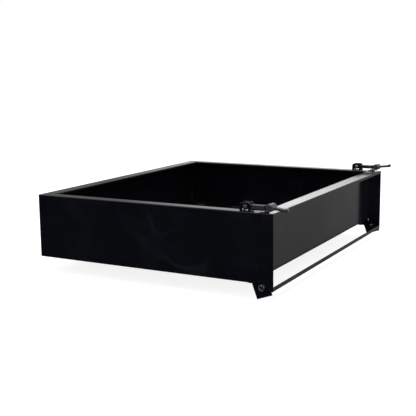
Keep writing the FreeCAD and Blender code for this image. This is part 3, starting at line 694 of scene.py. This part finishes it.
def add_tab(mesh, head, tilt):
    """The pull tab: a tilted tongue with grip ribs and a rolled tip."""
    along = Matrix.Translation(head) @ Matrix.Rotation(-tilt, 4, "X")
    tongue = along @ Matrix.Translation((0, -TAB_LENGTH / 2, 0))
    add_slab(mesh, tongue, (STRAP_WIDTH - RELIEF, TAB_LENGTH, TAB_THICKNESS - 2 * RELIEF))
    first = HEAD_RADIUS + 5.0 * MM
    last = TAB_LENGTH - TIP_RADIUS - 3.0 * MM
    for k in range(GRIP_RIBS):
        out = first + (last - first) * k / (GRIP_RIBS - 1)
        rib = along @ Matrix.Translation((0, -out, 0))
        add_slab(mesh, rib, (STRAP_WIDTH, RIB_LENGTH, TAB_THICKNESS))
    tip = head + Vector((0, -TAB_LENGTH * math.cos(tilt), TAB_LENGTH * math.sin(tilt) + TIP_RISE))
    add_roll(mesh, tip, TIP_RADIUS, STRAP_WIDTH, 1.6 * MM)


def moulded(blank, eye):
    """The blank's parts melted into one rounded moulding, with the pin's bore cut through."""
    rough = plain_object("strap_blank", blank)
    melt = rough.modifiers.new("melt", "REMESH")
    melt.voxel_size = VOXEL
    soften = rough.modifiers.new("soften", "SMOOTH")
    soften.iterations = SOFTENING
    cutter = bmesh.new()
    place = Matrix.Translation(eye - Vector((STRAP_WIDTH, 0, 0))) @ Matrix.Rotation(math.pi / 2, 4, "Y")
    add_rings(cutter, place, [round_ring(PIN_BORE, 0.0), round_ring(PIN_BORE, 2 * STRAP_WIDTH)])
    drill = plain_object("strap_drill", cutter)
    bore = rough.modifiers.new("bore", "BOOLEAN")
    bore.object = drill
    shaped = bpy.data.meshes.new_from_object(rough.evaluated_get(bpy.context.evaluated_depsgraph_get()))
    shaped.materials.clear()
    bpy.data.objects.remove(rough)
    bpy.data.objects.remove(drill)
    return shaped


def strap(side):
    """One moulding: an eye round the pin, a bar, a cross head behind the fork, and a ribbed pull tab."""
    wall_low, wall_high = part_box("side_wall_" + side)
    pin_low, pin_high = min(solids_of("latch_pins"), key=lambda ends: abs(ends[0].x - wall_low.x))
    strap_low, strap_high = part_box("latch_strap_" + side)
    middle_x = (strap_low[0] + strap_high[0]) / 2
    rim = wall_high[2]
    seam = wall_low[1]
    eye = Vector((middle_x, (pin_low.y + pin_high.y) / 2, (pin_low.z + pin_high.z) / 2))
    head = Vector((middle_x, seam - HEAD_OUT, rim + HEAD_RISE))

    blank = bmesh.new()
    add_roll(blank, eye, EYE_RADIUS - 0.1 * MM, STRAP_WIDTH, 1.2 * MM)
    add_bar(blank, eye, head, rim + BAR_CENTRE)
    add_roll(blank, head, HEAD_RADIUS, HEAD_WIDTH, 3.5 * MM)
    add_tab(blank, head, TAB_TILT[side])
    thing = bpy.data.objects.new("latch_strap_%s_moulded" % side, moulded(blank, eye))
    bpy.context.scene.collection.objects.link(thing)
    finish_piece(thing, "black_rubber", side + "_latch", "latch_strap_" + side)


# ---------------------------------------------------------------- welds

BEAD_RADIUS = 2.4 * MM
THIN_BEAD_RADIUS = 1.6 * MM
RAIL_BEAD_RADIUS = 1.8 * MM
BEAD_INSET = 0.8 * MM
BEAD_SIDES = 10
RIPPLE = 1.6 * MM
RINGS_PER_RIPPLE = 3
END_SWELL = 0.35
STITCH_START = 40.0 * MM
FRONT_STITCH_START = 50.0 * MM
STITCH_LENGTH = 50.0 * MM
STITCH_PITCH = 190.0 * MM
SIDE_STITCHES = 5
FRONT_STITCHES = 6
JAMB_WIDTH = 15.0 * MM
SHEET_GAUGE = 2.0 * MM


def weld_bead(name, start, end, body, size=BEAD_RADIUS):
    """A rippled bead of weld along an inside corner."""
    start, end = Vector(start), Vector(end)
    run = end - start
    place = Matrix.Translation(start) @ run.to_track_quat("Z", "Y").to_matrix().to_4x4()
    count = max(4, int(run.length / RIPPLE) * RINGS_PER_RIPPLE)
    dice = random.Random(name)
    stack = []
    for k in range(count + 1):
        height = run.length * k / count
        ripple = (k % RINGS_PER_RIPPLE) / (RINGS_PER_RIPPLE - 1)
        swell = 0.82 + 0.18 * ripple + dice.uniform(-0.04, 0.04)
        if k in (0, count):
            swell = END_SWELL
        stack.append(round_ring(size * swell, height, BEAD_SIDES))
    mesh = bmesh.new()
    add_rings(mesh, place, stack)
    finish_piece(plain_object(name, mesh), "coated_weld", body)


def welds():
    """Beads in the tub's front corners, round the floor, and where the tailgate's rail meets its pan."""
    wall_low, wall_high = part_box("side_wall_left")
    floor_low, floor_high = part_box("floor_panel")
    rail_low, rail_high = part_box("tailgate_bottom_rail")
    front_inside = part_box("front_wall")[1][1] - SHEET_GAUGE - BEAD_INSET
    seam = wall_low[1]
    behind_seam = seam + SHEET_GAUGE
    floor_top = floor_high[2] + BEAD_INSET
    corner_top = wall_high[2] - 4 * SHEET_GAUGE
    rail_height = rail_low[2] + 1.3 * SHEET_GAUGE
    for name, side in SIDES.items():
        inside = side * (abs(wall_low[0]) - SHEET_GAUGE - BEAD_INSET)
        weld_bead("weld_corner_" + name, (inside, front_inside, floor_top),
                  (inside, front_inside, corner_top), "tub")
        for number in range(SIDE_STITCHES):
            begin = seam + STITCH_START + STITCH_PITCH * number
            weld_bead("weld_floor_%s_%d" % (name, number + 1), (inside, begin, floor_top),
                      (inside, begin + STITCH_LENGTH, floor_top), "tub")
        jamb_middle = side * (abs(inside) - JAMB_WIDTH / 2)
        weld_bead("weld_jamb_" + name, (jamb_middle, behind_seam, floor_top),
                  (inside, behind_seam, floor_top), "tub", size=THIN_BEAD_RADIUS)
        rail_end = side * rail_high[0]
        weld_bead("weld_rail_" + name, (rail_end, rail_low[1] + 3 * SHEET_GAUGE, rail_height),
                  (rail_end, rail_high[1] - SHEET_GAUGE, rail_height), "tailgate", size=RAIL_BEAD_RADIUS)
    for number in range(FRONT_STITCHES):
        begin = floor_low[0] + FRONT_STITCH_START + STITCH_PITCH * number
        weld_bead("weld_floor_front_%d" % (number + 1), (begin, front_inside, floor_top),
                  (begin + STITCH_LENGTH, front_inside, floor_top), "tub")


# ---------------------------------------------------------------- stage, light and camera

WHITE = (1.0, 1.0, 1.0, 1.0)
TABLE_REACH = 60.0
TABLE_PAINT = 0.35
TABLE_GLOW = 0.86
FLOOR_REFLECTION = 0.10
HORIZON_REFLECTION = 0.30
REAR_GAIN = 1.7
SKY_REFLECTION = 0.82
FRONT_FLAG_REFLECTION = 0.03


def light_table():
    """A pale matt surface with a glow of its own."""
    material = bpy.data.materials.new("light_table")
    material.use_nodes = True
    shader = material.node_tree.nodes["Principled BSDF"]
    shader.inputs["Base Color"].default_value = (TABLE_PAINT, TABLE_PAINT, TABLE_PAINT, 1.0)
    shader.inputs["Roughness"].default_value = 0.9
    shader.inputs["Emission Color"].default_value = WHITE
    shader.inputs["Emission Strength"].default_value = TABLE_GLOW
    return material


def floor():
    """A pale light table. Reflections in the box come from the sky instead of from it."""
    mesh = bpy.data.meshes.new("studio_floor")
    corners = [(x * TABLE_REACH, y * TABLE_REACH, 0) for x, y in ((-1, -1), (1, -1), (1, 1), (-1, 1))]
    mesh.from_pydata(corners, [], [(0, 1, 2, 3)])
    mesh.materials.append(light_table())
    thing = bpy.data.objects.new("studio_floor", mesh)
    bpy.context.scene.collection.objects.link(thing)
    thing.visible_glossy = False


def sky():
    """The surroundings as the box reflects them. The backdrop itself looks white.

    Below the horizon it is lit dimly from the right and from the rear, and is dark at the front
    left, which keeps the box's long left side black. Above the horizon it is white, with a dark flag
    low beyond the front left corner that dims the front rim.
    """
    world = bpy.data.worlds.new("studio_sky")
    bpy.context.scene.world = world
    g = Graph(world, "Generated")
    background = g.tree.nodes["Background"]
    background.inputs["Color"].default_value = WHITE
    split = g.add("ShaderNodeSeparateXYZ")
    g.join(g.place, split.inputs["Vector"])
    rightwards, frontwards, upwards = split.outputs

    def ramp(value, low, high, out_low=0.0, out_high=1.0):
        return g.spread(value, low, high, out_low, out_high, shape="SMOOTHSTEP")

    low_light = ramp(upwards, -0.55, 0.0, FLOOR_REFLECTION, HORIZON_REFLECTION)
    far_glow = ramp(rightwards, 0.90, 0.97, 0.75, 1.35)
    right_light = g.maths("MULTIPLY", g.maths("MULTIPLY", ramp(rightwards, -0.35, 0.45), low_light), far_glow)
    rear_light = g.maths("MULTIPLY", ramp(frontwards, -0.15, -0.55, 0.0, REAR_GAIN), low_light)
    lit_below = g.maths("MAXIMUM", right_light, rear_light)
    beside_flag = g.maths("MAXIMUM", ramp(rightwards, 0.77, 0.89), ramp(rightwards, 0.60, 0.45))
    behind_flag = g.maths("MAXIMUM", beside_flag, ramp(frontwards, 0.30, 0.0))
    off_flag = g.maths("MAXIMUM", behind_flag, ramp(upwards, 0.30, 0.55))
    bright = g.maths("MAXIMUM", g.maths("MULTIPLY", off_flag, SKY_REFLECTION), FRONT_FLAG_REFLECTION)
    lit_above = g.maths("MULTIPLY", ramp(upwards, -0.02, 0.10), bright)
    reflected = g.maths("MAXIMUM", lit_below, lit_above)
    seen = g.add("ShaderNodeLightPath").outputs["Is Camera Ray"]
    g.join(g.maths("MAXIMUM", reflected, seen), background.inputs["Strength"])


def softbox(name, place, width, height, power):
    """A rectangular area light aimed at the box, unseen by the camera."""
    data = bpy.data.lights.new(name, "AREA")
    data.shape = "RECTANGLE"
    data.size = width
    data.size_y = height
    data.energy = power
    thing = bpy.data.objects.new(name, data)
    bpy.context.scene.collection.objects.link(thing)
    aim = (cad_low + cad_high) / 2 - Vector(place)
    thing.location = place
    thing.rotation_euler = aim.to_track_quat("-Z", "Y").to_euler()
    thing.visible_camera = False


def lights():
    softbox("rim_softbox", (6.2, 1.7, 1.9), width=1.8, height=1.2, power=9.0)
    softbox("top_softbox", (0.5, -0.5, 4.0), width=3.0, height=3.0, power=150.0)


CAMERA_PLACE = (-2.869, -1.517, 0.752)
AZIMUTH = math.radians(-61.32)
ELEVATION = math.radians(9.97)
ROLL = math.radians(-0.67)


def camera():
    """A long lens, about 61 degrees round to the left of the tailgate and 10 degrees up."""
    data = bpy.data.cameras.new("camera")
    data.lens = 71.99
    data.shift_x = 0.0034
    data.shift_y = -0.0029
    thing = bpy.data.objects.new("camera", data)
    bpy.context.scene.collection.objects.link(thing)
    back = Vector((
        math.sin(AZIMUTH) * math.cos(ELEVATION),
        -math.cos(AZIMUTH) * math.cos(ELEVATION),
        math.sin(ELEVATION),
    ))
    right = (-back).cross(Vector((0, 0, 1))).normalized()
    up = right.cross(-back)
    across = right * math.cos(ROLL) + up * math.sin(ROLL)
    upright = up * math.cos(ROLL) - right * math.sin(ROLL)
    turn = Matrix((across, upright, back)).transposed()
    thing.matrix_world = Matrix.Translation(CAMERA_PLACE) @ turn.to_4x4()
    bpy.context.scene.camera = thing


dress_cad_nodes()
fasteners()
for side_name in SIDES:
    strap(side_name)
welds()
floor()
sky()
lights()
camera()
bpy.context.scene.view_settings.view_transform = "Standard"
